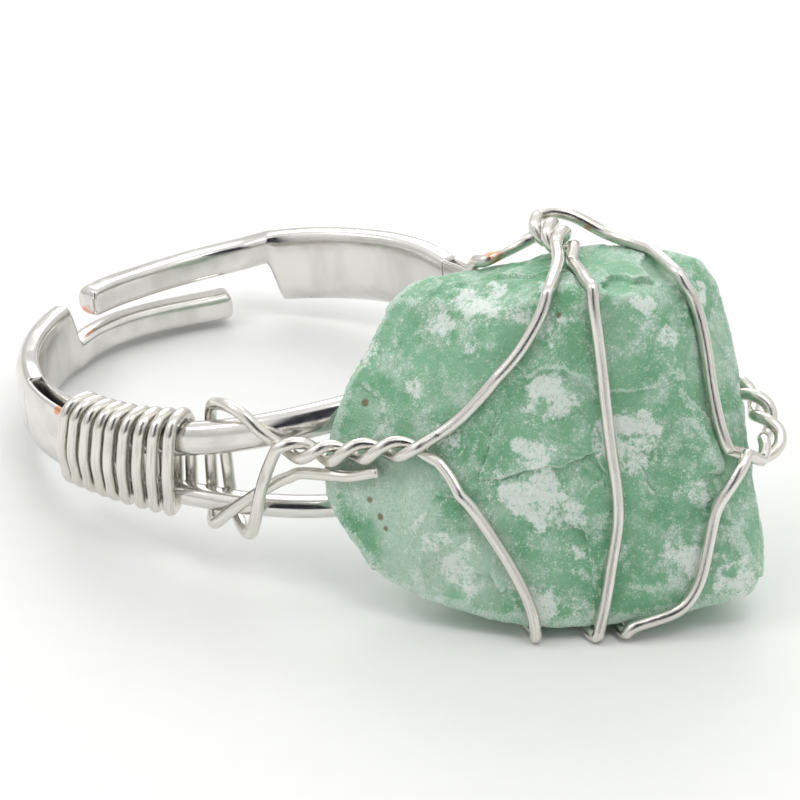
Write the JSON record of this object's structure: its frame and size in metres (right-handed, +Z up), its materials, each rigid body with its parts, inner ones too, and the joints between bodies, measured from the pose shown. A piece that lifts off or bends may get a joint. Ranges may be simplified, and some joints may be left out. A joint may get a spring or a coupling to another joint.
{
  "type": "wire wrapped ring",
  "caption": "Open adjustable finger ring whose forked front carries an uncut green stone tied on with twisted silver-coloured wire, coiled round both arms.",
  "frame": {"origin": "centre of the finger hole, on its axis, half way along the band", "axes": "+Z up from the table that the ring lies on, -Y towards the stone, +X to the wearer's right of the stone as pictured"},
  "size_m": [0.0229, 0.0321, 0.0137],
  "materials": {
    "plated_band": "bright silver plating on copper alloy",
    "plated_wire": "silver plated copper wire",
    "green_stone": "uncut green aventurine, waxy with chalky patches"
  },
  "bodies": {
    "root": {"ring_band": "plated_band", "left_coil": "plated_wire", "right_coil": "plated_wire", "outer_wire": "plated_wire", "inner_wire": "plated_wire", "rough_stone": "green_stone"}
  },
  "joints": []
}
